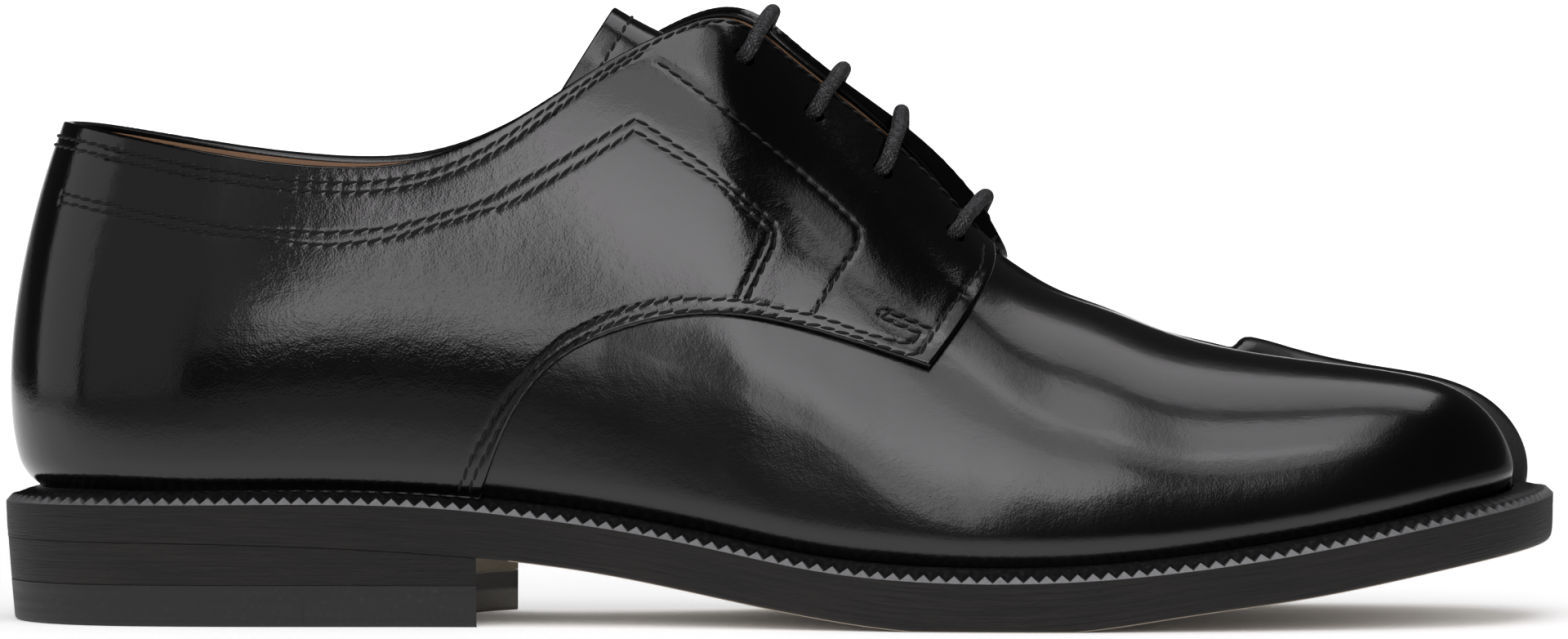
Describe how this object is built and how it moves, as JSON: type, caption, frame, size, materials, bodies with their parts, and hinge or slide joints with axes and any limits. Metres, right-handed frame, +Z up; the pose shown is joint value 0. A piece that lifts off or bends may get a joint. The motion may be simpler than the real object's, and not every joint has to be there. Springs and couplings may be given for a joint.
{
  "type": "tabi derby",
  "caption": "Black glossy leather lace-up derby shoe with a split toe, open facings over a tongue, a notched welt, a leather sole with toe spring and a low stacked heel.",
  "frame": {"origin": "on the floor, under the middle of the sole's length and width", "axes": "+X to the toe, +Y to the inner (medial) side of the foot, +Z up"},
  "size_m": [0.3001, 0.104, 0.1185],
  "materials": {
    "upper_leather": "glossy brushed black calf with a fine grain",
    "tan_leather": "plain tan lining leather",
    "sole_edge": "black waxed sole edge with fine layers",
    "top_lift": "matte black",
    "lace": "waxed round black braid"
  },
  "bodies": {
    "root": {"upper": "upper_leather", "quarter_lateral": "upper_leather", "quarter_medial": "upper_leather", "tongue": "upper_leather", "insole": "tan_leather", "welt": "sole_edge", "outsole": "sole_edge", "heel_stack": "sole_edge", "top_lift": "top_lift", "lace_bar_1": "lace", "lace_bar_2": "lace", "lace_bar_3": "lace", "lace_bar_4": "lace"}
  },
  "joints": []
}
